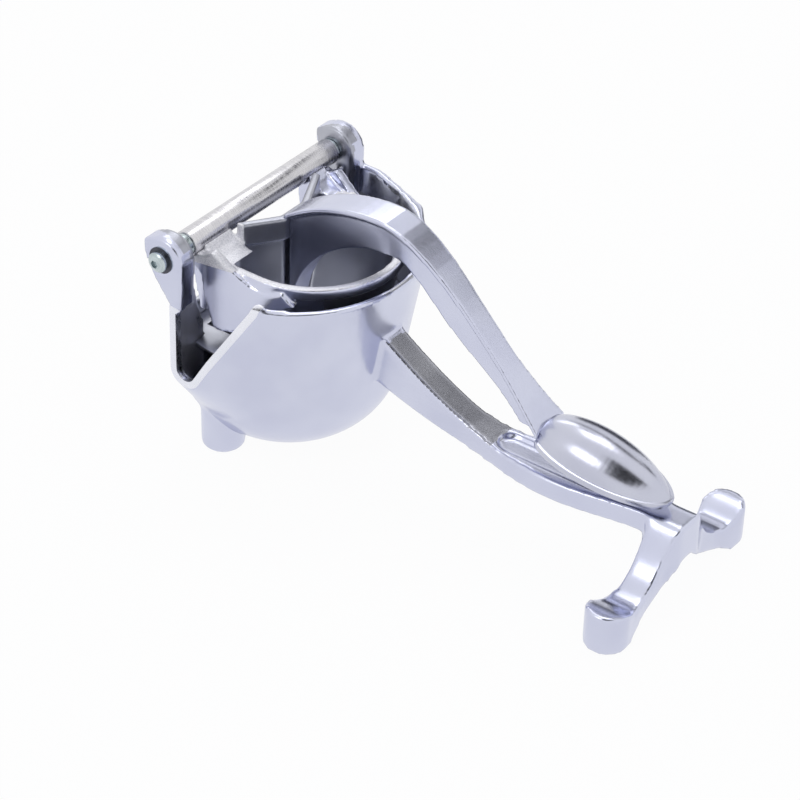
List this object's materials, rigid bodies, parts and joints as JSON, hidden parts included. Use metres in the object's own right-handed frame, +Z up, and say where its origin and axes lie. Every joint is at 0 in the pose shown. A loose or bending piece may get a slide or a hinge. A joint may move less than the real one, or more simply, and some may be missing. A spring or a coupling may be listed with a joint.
{
  "type": "hinged lemon squeezer",
  "caption": "Hand-held and table-standing citrus squeezer: a spouted bowl with a foot-ended handle and a hinged press-cup lever.",
  "frame": {"origin": "centre of the bounding box's base, on the table the part stands on", "axes": "+X from the hinge towards the grip and the foot, +Y along the hinge axis to the side away from the spout, +Z up"},
  "size_m": [0.22, 0.1244, 0.1173],
  "materials": {
    "cast_metal": "polished casting",
    "machined_metal": "turned, fine brushing",
    "rough_metal": "as cast, fine grain",
    "steel": "zinc-plated"
  },
  "bodies": {
    "base": {"bowl": "cast_metal", "near_leg": "cast_metal", "far_leg": "cast_metal", "handle": "cast_metal", "foot": "cast_metal", "strainer": "rough_metal", "hinge_rod": "steel", "near_spacer": "steel", "far_spacer": "steel", "near_washer": "steel", "far_washer": "steel", "near_screw": "steel", "far_screw": "steel"},
    "lever": {"lever_barrel": "machined_metal", "near_cheek": "cast_metal", "far_cheek": "cast_metal", "crossbar": "rough_metal", "press_cup": "cast_metal", "lever_arm": "cast_metal", "grip": "cast_metal"}
  },
  "joints": [
    {"name": "lever_hinge", "type": "hinge", "parent": "base", "child": "lever", "pos_m": [-0.1018, 0, 0.098], "axis": [0, -1, 0], "range_deg": [0, 110]}
  ]
}
